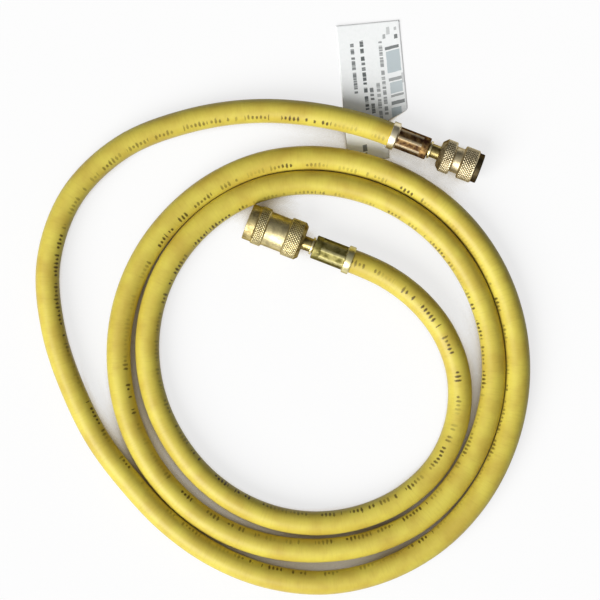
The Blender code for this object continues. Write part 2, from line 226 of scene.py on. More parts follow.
def wrap_round(data, path):
    """Lays a UV map in metres along the hose and round it from the printed line. Returns its length."""
    tree = KDTree(len(path))
    for index, (place, _, _) in enumerate(path):
        tree.insert(place, index)
    tree.balance()
    along = [0.0]
    for before, after in zip(path, path[1:]):
        along.append(along[-1] + (after[0] - before[0]).length)
    spots = []
    for vertex in data.vertices:
        index = tree.find(vertex.co)[1]
        place, _, bearing = path[index]
        inwards = COIL_MIDDLE - place
        inwards.z = 0.0
        across = (vertex.co - place).dot(inwards.normalized())
        turn = math.atan2(across, vertex.co.z - place.z) - math.radians(between(PRINT_TURNS, bearing))
        turn = (turn + math.pi) % math.tau - math.pi
        spots.append((along[index], turn))
    wrap = data.uv_layers.new(name="wrap")
    for polygon in data.polygons:
        turns = [spots[data.loops[loop].vertex_index][1] for loop in polygon.loop_indices]
        seam = max(turns) - min(turns) > math.pi
        for loop, turn in zip(polygon.loop_indices, turns):
            if seam and turn < 0:
                turn += math.tau
            wrap.data[loop].uv = (spots[data.loops[loop].vertex_index][0], turn * HOSE_RADIUS)
    return along[-1]


def swept_tube(name, path, sides):
    """A closed round tube along the path, as a mesh."""
    curve = bpy.data.curves.new(name, "CURVE")
    curve.dimensions = "3D"
    curve.twist_mode = "Z_UP"
    curve.bevel_depth = HOSE_RADIUS
    curve.bevel_resolution = sides // 2 - 2
    curve.use_fill_caps = True
    spline = curve.splines.new("POLY")
    spline.points.add(len(path) - 1)
    for target, (place, radius, _) in zip(spline.points, path):
        target.co = (*place, 1.0)
        target.radius = radius / HOSE_RADIUS
    swept = bpy.data.objects.new(name, curve)
    bpy.context.collection.objects.link(swept)
    bpy.context.view_layer.update()
    data = bpy.data.meshes.new_from_object(swept.evaluated_get(bpy.context.evaluated_depsgraph_get()))
    bpy.data.objects.remove(swept)
    mesh = bmesh.new()
    mesh.from_mesh(data)
    bmesh.ops.remove_doubles(mesh, verts=mesh.verts, dist=0.01 * MM)
    mesh.to_mesh(data)
    mesh.free()
    data.materials.clear()
    data.shade_smooth()
    return data


def linear(hex_colour):
    """An sRGB hex colour as the linear RGBA that the shaders take."""
    shares = [int(hex_colour[i:i + 2], 16) / 255 for i in (1, 3, 5)]
    return (*[s / 12.92 if s <= 0.04045 else ((s + 0.055) / 1.055) ** 2.4 for s in shares], 1.0)


def add(tree, kind, sockets=None, **settings):
    """Adds a node with its settings, and sets or links its sockets."""
    node = tree.nodes.new(kind)
    for name, value in settings.items():
        setattr(node, name, value)
    for name, value in (sockets or {}).items():
        if isinstance(value, bpy.types.NodeSocket):
            tree.links.new(value, node.inputs[name])
        else:
            node.inputs[name].default_value = value
    return node


def new_material(name):
    material = bpy.data.materials.new(name)
    material.use_nodes = True
    return material, material.node_tree, material.node_tree.nodes["Principled BSDF"]


# Yellow nitrile rubber, extruded and cured in a cloth wrap: a soft sheen, faint marks across it from the
# wrap, tan mottling from handling, painted shade low on its sides, and a worn line of ink marks along it.
MOTTLE = 13.0 * MM
WRAP_MARK = 0.9 * MM
INK_TICK = 2.0 * MM
INK_WORD = 15.0 * MM
INK_HEIGHT = 1.8 * MM
INK_WEAR = 26.0 * MM
INK_EDGE = 0.8 * MM
WRAP_LEAN = math.radians(8)
PAINTED_SHADE_TOP = 1.3 * HOSE_RADIUS
PAINTED_SHADE_BOTTOM = 0.4 * HOSE_RADIUS

cover, tree, shader = new_material("yellow_nitrile_cover")
spot = add(tree, "ShaderNodeTexCoord").outputs["Object"]
wrap = add(tree, "ShaderNodeUVMap", uv_map="wrap").outputs["UV"]
place = add(tree, "ShaderNodeSeparateXYZ", {"Vector": wrap})
mottles = add(tree, "ShaderNodeTexNoise", {"Vector": spot, "Scale": 1 / MOTTLE, "Detail": 4.0})
yellow = add(tree, "ShaderNodeValToRGB", {"Fac": mottles.outputs["Fac"]})
yellow.color_ramp.elements[0].position = 0.34
yellow.color_ramp.elements[0].color = linear("#CAB248")
yellow.color_ramp.elements[1].position = 0.62
yellow.color_ramp.elements[1].color = linear("#DACA54")
across_wrap = add(tree, "ShaderNodeMapping", {
    "Vector": wrap, "Rotation": (0.0, 0.0, WRAP_LEAN), "Scale": (1 / WRAP_MARK, 0.12 / WRAP_MARK, 1.0)})
marks = add(tree, "ShaderNodeTexNoise", {"Vector": across_wrap.outputs[0], "Scale": 1.0, "Detail": 2.0})
mark_share = add(tree, "ShaderNodeMapRange", {
    "Value": marks.outputs["Fac"], "From Min": 0.50, "From Max": 0.75, "To Min": 0.0, "To Max": 0.16})
wrapped = add(tree, "ShaderNodeMix", data_type="RGBA", sockets={
    "Factor": mark_share.outputs[0], "A": yellow.outputs[0], "B": linear("#A98E34")})
# Painted shade: the cover's colour darkens towards the bottom of its sides, so that its edges look shaded.
height = add(tree, "ShaderNodeSeparateXYZ", {"Vector": spot})
low_shade_share = add(tree, "ShaderNodeMapRange", {
    "Value": height.outputs["Z"], "From Min": PAINTED_SHADE_TOP, "From Max": PAINTED_SHADE_BOTTOM,
    "To Min": 0.0, "To Max": 0.6})
shade_painted = add(tree, "ShaderNodeMix", data_type="RGBA", sockets={
    "Factor": low_shade_share.outputs[0], "A": wrapped.outputs["Result"], "B": linear("#7D6A22")})

# The ink is rows of short upright marks, each of its own height and place, with bare stretches between the
# rows and more of it worn off in some places than in others.
ticks = add(tree, "ShaderNodeMath", {0: place.outputs["X"], 1: 1 / INK_TICK}, operation="MULTIPLY")
tick_cell = add(tree, "ShaderNodeMath", {0: ticks.outputs[0]}, operation="FLOOR")
tick_part = add(tree, "ShaderNodeMath", {0: ticks.outputs[0]}, operation="FRACT")
tick_chance = add(tree, "ShaderNodeTexWhiteNoise", {"W": tick_cell.outputs[0]}, noise_dimensions="1D")
words = add(tree, "ShaderNodeMath", {0: place.outputs["X"], 1: 1 / INK_WORD}, operation="MULTIPLY")
word_cell = add(tree, "ShaderNodeMath", {0: words.outputs[0]}, operation="FLOOR")
word_part = add(tree, "ShaderNodeMath", {0: words.outputs[0]}, operation="FRACT")
word_chance = add(tree, "ShaderNodeTexWhiteNoise", {"W": word_cell.outputs[0]}, noise_dimensions="1D")
word_end = add(tree, "ShaderNodeMapRange", {
    "Value": word_chance.outputs["Value"], "To Min": 0.60, "To Max": 0.96})
word_ink = add(tree, "ShaderNodeMath", {
    0: word_part.outputs[0], 1: word_end.outputs[0]}, operation="LESS_THAN")
worn = add(tree, "ShaderNodeTexNoise", {"Vector": spot, "Scale": 1 / INK_WEAR, "Detail": 1.0})
ink_left = add(tree, "ShaderNodeMapRange", {
    "Value": worn.outputs["Fac"], "From Min": 0.40, "From Max": 0.58, "To Min": 0.16, "To Max": 0.90})
chances = add(tree, "ShaderNodeSeparateColor", {"Color": tick_chance.outputs["Color"]})
half_height = add(tree, "ShaderNodeMapRange", {
    "Value": chances.outputs["Red"], "To Min": 0.45 * INK_HEIGHT, "To Max": INK_HEIGHT})
tick_there = add(tree, "ShaderNodeMath", {0: chances.outputs["Blue"], 1: 0.85}, operation="LESS_THAN")
shift = add(tree, "ShaderNodeMapRange", {
    "Value": chances.outputs["Green"], "To Min": -0.15 * INK_HEIGHT, "To Max": 0.15 * INK_HEIGHT})
shifted = add(tree, "ShaderNodeMath", {0: place.outputs["Y"], 1: shift.outputs[0]}, operation="ADD")
off_line = add(tree, "ShaderNodeMath", {0: shifted.outputs[0]}, operation="ABSOLUTE")
up_mark = add(tree, "ShaderNodeMath", {
    0: off_line.outputs[0], 1: half_height.outputs[0]}, operation="DIVIDE")
along_mark = add(tree, "ShaderNodeMapRange", {"Value": tick_part.outputs[0], "To Min": -1.6, "To Max": 1.6})
mark_place = add(tree, "ShaderNodeCombineXYZ", {"X": along_mark.outputs[0], "Y": up_mark.outputs[0]})
ragged = add(tree, "ShaderNodeTexNoise", {"Vector": spot, "Scale": 1 / INK_EDGE, "Detail": 2.0})
raggedness = add(tree, "ShaderNodeMapRange", {
    "Value": ragged.outputs["Fac"], "From Min": 0.3, "From Max": 0.7, "To Min": -0.22, "To Max": 0.22})
mark_size = add(tree, "ShaderNodeVectorMath", {0: mark_place.outputs[0]}, operation="LENGTH")
mark_edge = add(tree, "ShaderNodeMath", {
    0: mark_size.outputs["Value"], 1: raggedness.outputs[0]}, operation="ADD")
mark_ink = add(tree, "ShaderNodeMapRange", {
    "Value": mark_edge.outputs[0], "From Min": 1.15, "From Max": 0.70})
ink = mark_ink
for other in (word_ink, ink_left, tick_there):
    ink = add(tree, "ShaderNodeMath", {0: ink.outputs[0], 1: other.outputs[0]}, operation="MULTIPLY")
printed = add(tree, "ShaderNodeMix", data_type="RGBA", sockets={
    "Factor": ink.outputs[0], "A": shade_painted.outputs["Result"], "B": linear("#48360F")})
bump = add(tree, "ShaderNodeBump", {
    "Height": marks.outputs["Fac"], "Strength": 0.25, "Distance": 0.10 * MM})
sheen = add(tree, "ShaderNodeMapRange", {"Value": mottles.outputs["Fac"], "To Min": 0.36, "To Max": 0.52})
tree.links.new(printed.outputs["Result"], shader.inputs["Base Color"])
tree.links.new(bump.outputs[0], shader.inputs["Normal"])
tree.links.new(sheen.outputs[0], shader.inputs["Roughness"])
shader.inputs["Specular IOR Level"].default_value = 0.4

hose_path = smooth_path(route_points())
hose_mesh = swept_tube("yellow_hose", hose_path, HOSE_SIDES)
hose_length = wrap_round(hose_mesh, hose_path)
hose_mesh.materials.append(cover)
yellow_hose = bpy.data.objects.new("yellow_hose", hose_mesh)
bpy.context.collection.objects.link(yellow_hose)
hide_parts("hose")
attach(yellow_hose, "hose")


# The ferrules are drawn brass sleeves. A crimping tool squeezed eight flats on them, round the hose and the
# stem's barbs inside, and left a plain polished ring at the hose's end, whose pale colour is also a painted
# highlight.
FERRULE_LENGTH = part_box("outer_ferrule")[1].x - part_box("outer_ferrule")[0].x
FERRULE_WALL = 0.7 * MM
RING_RADIUS = 6.7 * MM
RING_LENGTH = 3.2 * MM
NOSE_LENGTH = 3.4 * MM
END_WALL = 2.0 * MM
CRIMP_FLATS = 8
CRIMP_ROUND = 0.25 * MM
OUTER_CRIMP_RADIUS = 5.10 * MM
INNER_CRIMP_RADIUS = 5.45 * MM
NECK_RADIUS = 3.3 * MM
GAP = 0.3 * MM
FERRULE_COLUMNS = 192
SHARP_EDGE = math.radians(38)
# How bright the ridges between the crimp's flats are, worn and with a painted highlight, how dull the
# flats, and how dark the painted shade on the underside, which starts this share of the radius above the
# axis and is at its darkest this much lower
RIDGE_WEAR_AND_HIGHLIGHT = 0.6
FLAT_DULLNESS = 0.25
UNDERSIDE_PAINTED_SHADE = 0.8
PAINTED_SHADE_FROM = 0.5
PAINTED_SHADE_FADE = 0.6
BRASS_SPECK = 0.8 * MM
# A lathe's real marks are finer, about 0.1 mm apart. These are as coarse as they need to be to show.
LATHE_MARK = 0.35 * MM


def rounded(corners):
    """A closed profile through corners (along, radius, fillet), each turned off to its fillet."""
    arc_steps = 4
    profile = []
    for before, corner, after in zip(corners[-1:] + corners, corners, corners[1:] + corners[:1]):
        spot = Vector(corner[:2])
        if corner[2] == 0.0:
            profile.append(spot)
            continue
        to_before = Vector(before[:2]) - spot
        to_after = Vector(after[:2]) - spot
        half_corner = to_before.angle(to_after) / 2
        setback = min(corner[2] / math.tan(half_corner), 0.49 * to_before.length, 0.49 * to_after.length)
        first = spot + to_before.normalized() * setback
        last = spot + to_after.normalized() * setback
        for step in range(arc_steps + 1):
            t = step / arc_steps
            profile.append(first * (1 - t) ** 2 + spot * 2 * t * (1 - t) + last * t * t)
    return profile


def evenly(start, end, radius, step):
    """Corners at even steps along a straight stretch, for a pattern to be cut in it later."""
    count = max(2, round(abs(end - start) / step))
    return [(start + (end - start) * i / count, radius, 0.0) for i in range(count + 1)]


def turned(profile, columns, closed=True):
    """A profile of (along, radius) turned about the fitting's axis. An open one ends on that axis."""
    mesh = bmesh.new()
    points = [mesh.verts.new((along, 0.0, radius)) for along, radius in profile]
    followers = points[1:] + points[:1] if closed else points[1:]
    edges = [mesh.edges.new(pair) for pair in zip(points, followers)]
    bmesh.ops.spin(
        mesh, geom=points + edges, cent=(0.0, 0.0, 0.0), axis=(1.0, 0.0, 0.0), angle=math.tau,
        steps=columns, use_merge=True, use_duplicate=False,
    )
    bmesh.ops.remove_doubles(mesh, verts=mesh.verts, dist=0.001 * MM)
    mesh.verts.layers.float.new("polish_and_painted_light")
    return mesh


def polar(spot):
    """A point's place along the axis, its radius and its angle from the top."""
    return spot.x, math.hypot(spot.y, spot.z), math.atan2(spot.y, spot.z)


def set_radius(vertex, radius):
    vertex.co.yz = vertex.co.yz.normalized() * radius


def underside(vertex):
    """How far a point is into the painted shade on the underside of a piece that never turns, from 0 to 1.
    """
    up = vertex.co.z / vertex.co.yz.length
    return min(1.0, max(0.0, (PAINTED_SHADE_FROM - up) / PAINTED_SHADE_FADE))


def finish_turned(name, mesh, fitting, material, node):
    """Moves a turned mesh to its place and lets it stand for a node of the frame."""
    bmesh.ops.recalc_face_normals(mesh, faces=mesh.faces)
    bmesh.ops.transform(mesh, matrix=fitting, verts=mesh.verts)
    data = bpy.data.meshes.new(name)
    mesh.to_mesh(data)
    mesh.free()
    data.shade_smooth()
    data.set_sharp_from_angle(angle=SHARP_EDGE)
    data.materials.append(material)
    piece = bpy.data.objects.new(name, data)
    bpy.context.collection.objects.link(piece)
    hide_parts(node)
    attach(piece, frame["nodes"][node]["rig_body"])
    return piece


def crimped_ferrule(name, node, fitting, crimp_radius, material):
    """The sleeve: its plain ring, the stretch with the crimp's flats, and the nose round the stem."""
    front = FERRULE_LENGTH
    crimp_end = front - NOSE_LENGTH
    shoulder = crimp_radius + CRIMP_ROUND
    ring_bore = RING_RADIUS - FERRULE_WALL
    mesh = turned(rounded([
        (0.0, RING_RADIUS, 0.3 * MM),
        (RING_LENGTH, RING_RADIUS, 0.3 * MM),
        (RING_LENGTH + 0.2 * MM, shoulder, 0.1 * MM),
        *evenly(RING_LENGTH + 0.5 * MM, crimp_end - 0.3 * MM, shoulder, 0.4 * MM),
        (crimp_end, shoulder, 0.0),
        (front, shoulder, 0.6 * MM),
        (front, NECK_RADIUS + GAP, 0.1 * MM),
        (front - END_WALL, NECK_RADIUS + GAP, 0.0),
        (front - END_WALL, crimp_radius - FERRULE_WALL, 0.0),
        (RING_LENGTH + 1.2 * MM, crimp_radius - FERRULE_WALL, 0.0),
        (RING_LENGTH, ring_bore, 0.2 * MM),
        (0.0, ring_bore, 0.15 * MM),
    ]), FERRULE_COLUMNS)
    polish_and_painted_light = mesh.verts.layers.float["polish_and_painted_light"]
    flat_turn = math.tau / CRIMP_FLATS
    for vertex in mesh.verts:
        x, radius, angle = polar(vertex.co)
        outside = radius > crimp_radius - FERRULE_WALL / 2
        # The plain ring is polished, and its pale colour is also a painted highlight.
        vertex[polish_and_painted_light] = 1.0 if x < RING_LENGTH + 0.1 * MM else 0.0
        if outside and RING_LENGTH + 0.3 * MM < x < crimp_end:
            from_middle = angle % flat_turn - flat_turn / 2
            flat = min(shoulder, crimp_radius / math.cos(from_middle))
            set_radius(vertex, flat)
            # The ridges between the flats are brighter, both as rubbed edges and as a painted highlight.
            ridge_wear_and_highlight = RIDGE_WEAR_AND_HIGHLIGHT * (flat - crimp_radius) / CRIMP_ROUND
            # The flats get painted shade towards their underside.
            vertex[polish_and_painted_light] = ridge_wear_and_highlight - FLAT_DULLNESS - UNDERSIDE_PAINTED_SHADE * underside(vertex)
    return finish_turned(name, mesh, fitting, material, node)


def brass(name, dark, mid, bright, rough, patch_size):
    """Brass that was turned or drawn and then handled: dull in its patches, dark where its per-vertex value
    is under 0, in its hollows and where shade is painted on, and bright where it is over 0, on its edges
    and where a highlight is painted on."""
    material, tree, shader = new_material(name)
    spot = add(tree, "ShaderNodeTexCoord").outputs["Object"]
    patches = add(tree, "ShaderNodeTexNoise", {"Vector": spot, "Scale": 1 / patch_size, "Detail": 5.0})
    specks = add(tree, "ShaderNodeTexNoise", {"Vector": spot, "Scale": 1 / BRASS_SPECK, "Detail": 3.0})
    lathe = add(tree, "ShaderNodeMapping", {"Vector": spot, "Scale": (1 / LATHE_MARK, 9.0, 9.0)})
    lines = add(tree, "ShaderNodeTexNoise", {"Vector": lathe.outputs[0], "Scale": 1.0, "Detail": 2.0})
    tone = add(tree, "ShaderNodeValToRGB", {"Fac": patches.outputs["Fac"]})
    tone.color_ramp.elements[0].position = 0.36
    tone.color_ramp.elements[0].color = linear(dark)
    tone.color_ramp.elements[1].position = 0.60
    tone.color_ramp.elements[1].color = linear(mid)
    speck_share = add(tree, "ShaderNodeMapRange", {
        "Value": specks.outputs["Fac"], "From Min": 0.52, "From Max": 0.72, "To Min": 0.0, "To Max": 0.55})
    specked = add(tree, "ShaderNodeMix", data_type="RGBA", sockets={
        "Factor": speck_share.outputs[0], "A": tone.outputs[0], "B": linear(dark)})
    polish_and_painted_light = add(tree, "ShaderNodeAttribute", attribute_name="polish_and_painted_light")
    shine_and_highlight_share = add(tree, "ShaderNodeMapRange", {"Value": polish_and_painted_light.outputs["Fac"]})
    worn = add(tree, "ShaderNodeMix", data_type="RGBA", sockets={
        "Factor": shine_and_highlight_share.outputs[0], "A": specked.outputs["Result"], "B": linear(bright)})
    dark_share = add(tree, "ShaderNodeMapRange", {
        "Value": polish_and_painted_light.outputs["Fac"], "From Min": 0.0, "From Max": -1.0})
    darkened = add(tree, "ShaderNodeMix", data_type="RGBA", sockets={
        "Factor": dark_share.outputs[0], "A": worn.outputs["Result"], "B": linear("#2A2110")})
    dull = add(tree, "ShaderNodeMapRange", {
        "Value": patches.outputs["Fac"], "From Min": 0.3, "From Max": 0.7,
        "To Min": rough + 0.12, "To Max": rough})
    roughness = add(tree, "ShaderNodeMapRange", {
        "Value": polish_and_painted_light.outputs["Fac"], "From Min": 0.0, "From Max": 1.0,
        "To Min": dull.outputs[0], "To Max": 0.36})
    bump = add(tree, "ShaderNodeBump", {
        "Height": lines.outputs["Fac"], "Strength": 0.2, "Distance": 0.03 * MM})
    shader.inputs["Metallic"].default_value = 1.0
    shader.inputs["Specular Tint"].default_value = linear("#8A7440")
    tree.links.new(darkened.outputs["Result"], shader.inputs["Base Color"])
    tree.links.new(roughness.outputs[0], shader.inputs["Roughness"])
    tree.links.new(bump.outputs[0], shader.inputs["Normal"])
    return material


olive_ferrule = brass(
    "drawn_brass_dull_olive", "#6A6432", "#A89F63", "#EDE4AE", rough=0.56, patch_size=3.0 * MM)
# Its bright tone is near white, so the polished ring also carries a painted highlight.
brown_ferrule = brass(
    "drawn_brass_dull_brown", "#4A2E22", "#97794C", "#FFF4D2", rough=0.56, patch_size=2.6 * MM)
crimped_ferrule(
    "outer_crimped_ferrule", "outer_ferrule", outer_frame, OUTER_CRIMP_RADIUS, brown_ferrule)
inner_sleeve = crimped_ferrule(
    "inner_crimped_ferrule", "inner_ferrule", inner_frame, INNER_CRIMP_RADIUS, olive_ferrule)


# The stems are turned brass tubes. One end is held in the hose, a collar stops at the ferrule, and the
# flange at the other end is what the nut's shoulder pulls against the port.
STEM_BORE = 1.75 * MM
COLLAR_RADIUS = 4.2 * MM
COLLAR_LENGTH = 1.1 * MM
FLANGE_RADIUS = 4.8 * MM
FLANGE_LENGTH = 2.0 * MM
STEM_COLUMNS = 96
COLLAR_SHINE = 0.9
turned_brass = brass("turned_brass", "#7A6838", "#BFAE74", "#F7E9B4", rough=0.28, patch_size=4.0 * MM)


def ends_along(corners, fitting):
    """Where a node's box, given by its two corners, starts and ends along its fitting's own axis."""
    return sorted((fitting.inverted() @ corner).x for corner in corners)


def stem(name, node, fitting):
    tail, front = ends_along(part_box(node), fitting)
    collar = FERRULE_LENGTH + GAP
    mesh = turned(rounded([
        (tail, NECK_RADIUS, 0.0),
        (collar, NECK_RADIUS, 0.0),
        (collar, COLLAR_RADIUS, 0.25 * MM),
        (collar + COLLAR_LENGTH, COLLAR_RADIUS, 0.25 * MM),
        (collar + COLLAR_LENGTH, NECK_RADIUS, 0.3 * MM),
        (front - FLANGE_LENGTH, NECK_RADIUS, 0.3 * MM),
        (front - FLANGE_LENGTH, FLANGE_RADIUS, 0.2 * MM),
        (front, FLANGE_RADIUS, 0.25 * MM),
        (front, STEM_BORE, 0.25 * MM),
        (tail, STEM_BORE, 0.0),
    ]), STEM_COLUMNS)
    polish_and_painted_light = mesh.verts.layers.float["polish_and_painted_light"]
    for vertex in mesh.verts:
        x, radius, _ = polar(vertex.co)
        if radius > NECK_RADIUS + 0.3 * MM and x < collar + COLLAR_LENGTH + 0.1 * MM:
            vertex[polish_and_painted_light] = COLLAR_SHINE
    return finish_turned(name, mesh, fitting, turned_brass, node)


stem("outer_turned_stem", "outer_stem", outer_frame)
inner_tube = stem("inner_turned_stem", "inner_stem", inner_frame)


# Each gasket is a flat ring of black neoprene in the bottom of its nut. The inner end also has a core
# depressor, a small brass pin with grooves down it, pressed in the stem to open the port's valve.
GASKET_HOLE = 2.2 * MM
GASKET_ROUND = 0.35 * MM
RUBBER_GRAIN = 0.25 * MM
PIN_TIP_RADIUS = 0.8 * MM
PIN_TIP_LENGTH = 1.2 * MM
PIN_TIP_CHAMFER = 0.2 * MM
PIN_GROOVES = 4
PIN_GROOVE_DEPTH = 0.45 * MM
PIN_SHINE = 0.7

neoprene, tree, shader = new_material("moulded_black_neoprene")
grain = add(tree, "ShaderNodeTexNoise", {"Scale": 1 / RUBBER_GRAIN, "Detail": 3.0})
tree.links.new(add(tree, "ShaderNodeTexCoord").outputs["Object"], grain.inputs["Vector"])
black = add(tree, "ShaderNodeValToRGB", {"Fac": grain.outputs["Fac"]})
black.color_ramp.elements[0].color = linear("#141414")
black.color_ramp.elements[1].color = linear("#2B2A28")
pores = add(tree, "ShaderNodeBump", {
    "Height": grain.outputs["Fac"], "Strength": 0.3, "Distance": 0.05 * MM})
tree.links.new(black.outputs[0], shader.inputs["Base Color"])
tree.links.new(pores.outputs[0], shader.inputs["Normal"])
shader.inputs["Roughness"].default_value = 0.62


def gasket(name, node, fitting):
    back, seat = ends_along(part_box(node), fitting)
    mesh = turned(rounded([
        (back, FLANGE_RADIUS, GASKET_ROUND),
        (seat, FLANGE_RADIUS, GASKET_ROUND),
        (seat, GASKET_HOLE, GASKET_ROUND),
        (back, GASKET_HOLE, GASKET_ROUND),
    ]), STEM_COLUMNS)
    return finish_turned(name, mesh, fitting, neoprene, node)


def core_depressor(name, node, fitting):
    """A pin with a shank in the stem, a head in the gasket's hole, a chamfered tip and grooved sides."""
    back, tip = ends_along(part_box(node), fitting)
    gasket_end = Vector((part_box("inner_gasket")[1].x, 0.0, 0.0))
    gasket_back = (fitting.inverted() @ gasket_end).x
    seat = tip - PIN_TIP_LENGTH
    shank = STEM_BORE - GAP
    head = GASKET_HOLE - GAP
    mesh = turned([
        (back, 0.0),
        (back, shank),
        (gasket_back, shank),
        (gasket_back, head),
        (seat - GAP, head),
        (seat, PIN_TIP_RADIUS),
        (tip - PIN_TIP_CHAMFER, PIN_TIP_RADIUS),
        (tip, PIN_TIP_RADIUS - PIN_TIP_CHAMFER),
        (tip, 0.0),
    ], STEM_COLUMNS, closed=False)
    polish_and_painted_light = mesh.verts.layers.float["polish_and_painted_light"]
    for vertex in mesh.verts:
        x, radius, angle = polar(vertex.co)
        vertex[polish_and_painted_light] = PIN_SHINE
        if x < seat - GAP / 2 and radius > PIN_TIP_RADIUS:
            wave = (1.0 + math.cos(PIN_GROOVES * angle)) / 2
            set_radius(vertex, radius - PIN_GROOVE_DEPTH * wave)
    return finish_turned(name, mesh, fitting, turned_brass, node)


gasket("outer_neoprene_gasket", "outer_gasket", outer_frame)
inner_washer = gasket("inner_neoprene_gasket", "inner_gasket", inner_frame)
valve_pin = core_depressor("grooved_core_depressor", "core_depressor", inner_frame)


# The swivel nuts are turned from brass bar: two knurled bands for the fingers with a waist between them, a
# smooth lip at the mouth, and a 7/16-20 UNF thread inside that screws on the flare port.
THREAD_PITCH = 25.4 / 20 * MM
THREAD_CREST = 4.95 * MM
THREAD_ROOT = 5.50 * MM
THREAD_ROW = THREAD_PITCH / 8
KNURL_PITCH = 1.4 * MM
KNURL_STEPS = 8
KNURL_ROW = KNURL_PITCH / KNURL_STEPS
KNURL_DEPTH = 0.28 * MM
BAND_EDGE = 0.4 * MM
HEAD_BORE = 5.1 * MM
GASKET_THICKNESS = 1.9 * MM
# How bright the diamonds' tops are, how much darker the cuts between them, how bright the waist is and
# how dark the painted shade on the rear edge
DIAMOND_SHINE = 0.75
CUT_DIRT = 1.5
WAIST_SHINE = 0.35
REAR_EDGE_SHADE = -0.35


def groove(turns):
    """1 in the middle of a knurling cut and 0 on the top of a diamond, once for each turn."""
    return max(0.0, 2 * abs(2 * (turns % 1.0) - 1) - 1)


def cut_knurl(mesh, start, end, radius):
    """Cuts two crossing sets of grooves round a band, which leave diamonds between them."""
    count = round(math.tau * radius / KNURL_PITCH)
    polish_and_painted_light = mesh.verts.layers.float["polish_and_painted_light"]
    for vertex in mesh.verts:
        x, at_radius, angle = polar(vertex.co)
        if start <= x <= end and at_radius > radius - KNURL_DEPTH / 2:
            around = count * angle / math.tau
            along = (x - start) / KNURL_PITCH
            cut = max(groove(around + along), groove(around - along))
            fade = min(1.0, (x - start) / (2 * KNURL_ROW), (end - x) / (2 * KNURL_ROW))
            set_radius(vertex, at_radius - KNURL_DEPTH * cut * fade)
            vertex[polish_and_painted_light] = DIAMOND_SHINE - CUT_DIRT * cut * fade


def cut_thread(mesh, seat, mouth):
    """Cuts the female thread in the bore, fading out at both of its ends."""
    for vertex in mesh.verts:
        x, radius, angle = polar(vertex.co)
        if seat <= x <= mouth and radius < THREAD_ROOT + 0.1 * MM:
            turn = (x / THREAD_PITCH - angle / math.tau) % 1.0
            # 0 along the flat crest and 1 along the flat root, with straight flanks between them
            flank = min(1.0, max(0.0, 1.6 * abs(2 * turn - 1) - 0.3))
            fade = min(1.0, (x - seat) / THREAD_PITCH, (mouth - x) / THREAD_PITCH)
            set_radius(vertex, THREAD_ROOT - (THREAD_ROOT - THREAD_CREST) * (1 - flank) * fade)


def swivel_nut(
        name, node, fitting, material, rear_chamfer, lengths, waist_depth, lip_depth, seat_depth,
        lip_polish_and_painted_shade):
    """One nut. Its lengths are the rear band's, the waist's and the front band's. The lip is the rest."""
    low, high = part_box(node)
    radius = (high.z - low.z) / 2
    back, mouth = ends_along((low, high), fitting)
    rear_band, waist, front_band = lengths
    waist_back = back + rear_band
    waist_front = waist_back + waist
    lip_back = waist_front + front_band
    seat = mouth - seat_depth
    shoulder = seat - GASKET_THICKNESS - FLANGE_LENGTH - 2 * GAP
    edge = radius - BAND_EDGE
    waist_radius = radius - waist_depth
    lip_radius = radius - lip_depth
    neck_hole = NECK_RADIUS + GAP
    rear_start = back + rear_chamfer + BAND_EDGE
    rear_end = waist_back - BAND_EDGE
    front_start = waist_front + BAND_EDGE
    front_end = lip_back - BAND_EDGE
    mesh = turned(rounded([
        (back, neck_hole + 0.8 * MM, 0.2 * MM),
        (back, edge - rear_chamfer, 0.7 * rear_chamfer),
        (back + rear_chamfer, edge, 0.3 * MM),
        *evenly(rear_start, rear_end, radius, KNURL_ROW),
        (waist_back, edge, 0.1 * MM),
        (waist_back + 0.2 * MM, waist_radius, 0.6 * MM),
        (waist_front - 0.2 * MM, waist_radius, 0.6 * MM),
        (waist_front, edge, 0.1 * MM),
        *evenly(front_start, front_end, radius, KNURL_ROW),
        (lip_back, edge, 0.1 * MM),
        (lip_back + 0.2 * MM, lip_radius, 0.2 * MM),
        (mouth, lip_radius, 0.4 * MM),
        (mouth, THREAD_ROOT + 0.4 * MM, 0.15 * MM),
        *evenly(mouth - 0.4 * MM, seat + 0.3 * MM, THREAD_ROOT, THREAD_ROW),
        (seat, HEAD_BORE, 0.0),
        (shoulder, HEAD_BORE, 0.2 * MM),
        (shoulder, neck_hole, 0.1 * MM),
        (back + 0.8 * MM, neck_hole, 0.2 * MM),
    ]), round(math.tau * radius / KNURL_PITCH) * KNURL_STEPS)
    polish_and_painted_light = mesh.verts.layers.float["polish_and_painted_light"]
    for vertex in mesh.verts:
        x, at_radius, _ = polar(vertex.co)
        on_rear_edge = x < rear_start and at_radius > edge - rear_chamfer
        on_lip = x > lip_back + 0.1 * MM and at_radius > THREAD_ROOT + 0.5 * MM
        in_waist = rear_end < x < front_start and at_radius < edge
        # The rear edge gets painted shade.
        if on_rear_edge:
            vertex[polish_and_painted_light] = REAR_EDGE_SHADE
        elif on_lip:
            vertex[polish_and_painted_light] = lip_polish_and_painted_shade
        elif in_waist:
            vertex[polish_and_painted_light] = WAIST_SHINE
    cut_knurl(mesh, rear_start, rear_end, radius)
    cut_knurl(mesh, front_start, front_end, radius)
    cut_thread(mesh, seat + 0.2 * MM, mouth - 0.4 * MM)
    return finish_turned(name, mesh, fitting, material, node)


tan_brass = brass(
    "knurled_brass_tan", "#8A7650", "#D2C096", "#F9EECB", rough=0.42, patch_size=3.0 * MM)
bright_brass = brass(
    "knurled_brass_yellow", "#8A7646", "#D8C68A", "#FCF2C4", rough=0.40, patch_size=3.0 * MM)
